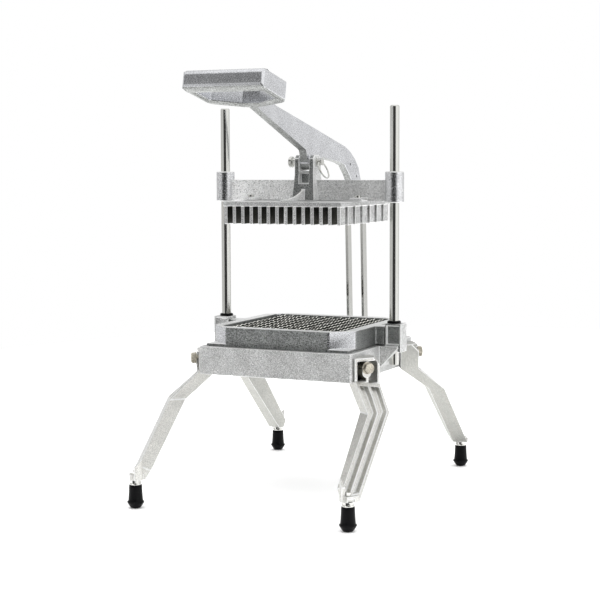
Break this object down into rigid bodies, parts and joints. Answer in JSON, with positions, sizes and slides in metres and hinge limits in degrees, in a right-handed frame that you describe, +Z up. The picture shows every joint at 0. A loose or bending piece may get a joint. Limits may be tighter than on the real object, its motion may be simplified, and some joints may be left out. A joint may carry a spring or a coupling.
{
  "type": "lettuce cutter",
  "caption": "Bench lettuce cutter: a long lever drives a fingered pusher head down two guide rods through a tray of scalloped blades on a four-legged cast base.",
  "frame": {"origin": "centre of the bounding box's bottom face, on the surface the feet stand on", "axes": "+Z up along the guide rods, +X across from the left rod to the right rod, +Y from the handle towards the link bars at the rear"},
  "size_m": [0.3262, 0.475, 0.5616],
  "materials": {
    "casting": "tumbled cast aluminium, satin",
    "stainless": "ground and polished stainless steel",
    "blade": "ground stainless blade steel",
    "zinc": "zinc-plated steel, slightly warm",
    "bronze": "sintered bearing bronze, matt",
    "rubber": "black moulded rubber, satin"
  },
  "bodies": {
    "stand": {"base_casting": "casting", "leg_front_left": "casting", "leg_front_right": "casting", "leg_rear_left": "casting", "leg_rear_right": "casting", "leg_bolt_front_left": "zinc", "leg_bolt_front_right": "zinc", "leg_bolt_rear_left": "zinc", "leg_bolt_rear_right": "zinc", "foot_front_left": "rubber", "foot_front_right": "rubber", "foot_rear_left": "rubber", "foot_rear_right": "rubber", "foot_stud_front_left": "stainless", "foot_stud_front_right": "stainless", "foot_stud_rear_left": "stainless", "foot_stud_rear_right": "stainless", "guide_rod_left": "stainless", "guide_rod_right": "stainless", "rod_bumper_left": "rubber", "rod_bumper_right": "rubber", "link_bracket": "casting", "bracket_bolt_left": "zinc", "bracket_bolt_right": "zinc", "bracket_pin_left": "zinc", "bracket_pin_right": "zinc"},
    "tray": {"blade_tray": "casting", "blade_lengthwise_1": "blade", "blade_lengthwise_2": "blade", "blade_lengthwise_3": "blade", "blade_lengthwise_4": "blade", "blade_lengthwise_5": "blade", "blade_lengthwise_6": "blade", "blade_lengthwise_7": "blade", "blade_lengthwise_8": "blade", "blade_lengthwise_9": "blade", "blade_lengthwise_10": "blade", "blade_lengthwise_11": "blade", "blade_lengthwise_12": "blade", "blade_lengthwise_13": "blade", "blade_crosswise_1": "blade", "blade_crosswise_2": "blade", "blade_crosswise_3": "blade", "blade_crosswise_4": "blade", "blade_crosswise_5": "blade", "blade_crosswise_6": "blade"},
    "head": {"pusher_head": "casting", "crossbeam": "casting", "rod_sleeve_left": "bronze", "rod_sleeve_right": "bronze", "head_screw_left": "stainless", "head_screw_right": "stainless", "clevis_pin": "stainless"},
    "ring": {"pin_ring": "stainless"},
    "lever": {"lever_arm": "casting", "lever_bushing": "bronze"},
    "link": {"link_bar_left": "stainless", "link_bar_right": "stainless", "link_top_pin": "zinc", "link_foot_pin": "stainless"}
  },
  "joints": [
    {"name": "tray_lift", "type": "slide", "parent": "stand", "child": "tray", "axis": [0, 0, 1], "range_m": [0, 0.008]},
    {"name": "head_press", "type": "slide", "parent": "stand", "child": "head", "axis": [0, 0, -1], "range_m": [0, 0.15]},
    {"name": "lever_swing", "type": "hinge", "parent": "head", "child": "lever", "pos_m": [0, 0.01299, 0.449], "axis": [1, 0, 0], "range_deg": [0, 51.71]},
    {"name": "link_swing", "type": "hinge", "parent": "lever", "child": "link", "pos_m": [0, 0.17999, 0.409], "axis": [1, 0, 0], "range_deg": [-43.27, 0]},
    {"name": "ring_swing", "type": "hinge", "parent": "head", "child": "ring", "pos_m": [0.0184, 0.01299, 0.449], "axis": [0, 1, 0], "range_deg": [-60, 8]}
  ],
  "couplings": [
    {"joint": "lever_swing", "follows": "head_press", "rad_per_m": 6.0104},
    {"joint": "link_swing", "follows": "head_press", "rad_per_m": -5.0287}
  ]
}
